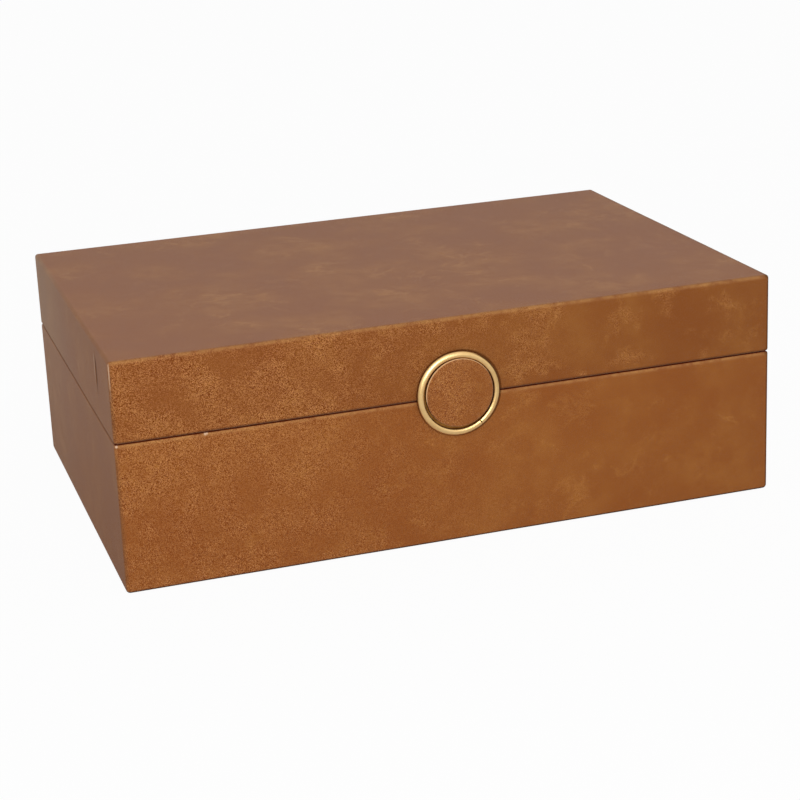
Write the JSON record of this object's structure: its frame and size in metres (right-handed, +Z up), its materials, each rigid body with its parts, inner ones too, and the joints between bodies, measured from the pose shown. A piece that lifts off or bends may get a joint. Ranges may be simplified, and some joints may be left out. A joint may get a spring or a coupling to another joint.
{
  "type": "storage box",
  "caption": "Flat rectangular hinged-lid storage box in suede-look leathercloth over board, with a ring-framed round pull on the lid's front.",
  "frame": {"origin": "centre of the underside, on the surface that the box stands on", "axes": "+Z up, +X along the longest side to the right as seen from the front, the front with the pull faces -Y"},
  "size_m": [0.305, 0.211, 0.1045],
  "materials": {
    "fibreboard": "raw medium-density fibreboard",
    "leathercloth": "matt suede-look leathercloth, brown",
    "lining_flock": "black flocked lining board",
    "underside_felt": "thin black felt",
    "brass": "brushed brass",
    "steel": "nickel-plated steel"
  },
  "bodies": {
    "base": {"base_bottom_board": "fibreboard", "base_front_wall": "fibreboard", "base_back_wall": "fibreboard", "base_left_wall": "fibreboard", "base_right_wall": "fibreboard", "base_wrap": "leathercloth", "base_underside_felt": "underside_felt", "base_magnets": "steel", "base_floor_lining": "lining_flock", "base_front_lining": "lining_flock", "base_back_lining": "lining_flock", "base_left_lining": "lining_flock", "base_right_lining": "lining_flock", "hinge_left_base_leaf": "brass", "hinge_left_base_screws": "brass", "hinge_left_pin": "brass", "hinge_right_base_leaf": "brass", "hinge_right_base_screws": "brass", "hinge_right_pin": "brass"},
    "lid": {"lid_top_board": "fibreboard", "lid_front_wall": "fibreboard", "lid_back_wall": "fibreboard", "lid_left_wall": "fibreboard", "lid_right_wall": "fibreboard", "lid_wrap": "leathercloth", "lid_magnets": "steel", "lid_ceiling_lining": "lining_flock", "lid_front_lining": "lining_flock", "lid_back_lining": "lining_flock", "lid_left_lining": "lining_flock", "lid_right_lining": "lining_flock", "hinge_left_lid_leaf": "brass", "hinge_left_lid_screws": "brass", "hinge_right_lid_leaf": "brass", "hinge_right_lid_screws": "brass", "pull_back_plate": "brass", "pull_ring": "brass", "pull_disc_core": "fibreboard", "pull_disc_cover": "leathercloth", "pull_screws": "steel", "pull_washers": "steel"}
  },
  "joints": [
    {"name": "lid_hinge", "type": "hinge", "parent": "base", "child": "lid", "pos_m": [0, 0.1023, 0.0682], "axis": [-1, 0, 0], "range_deg": [0, 100]}
  ]
}
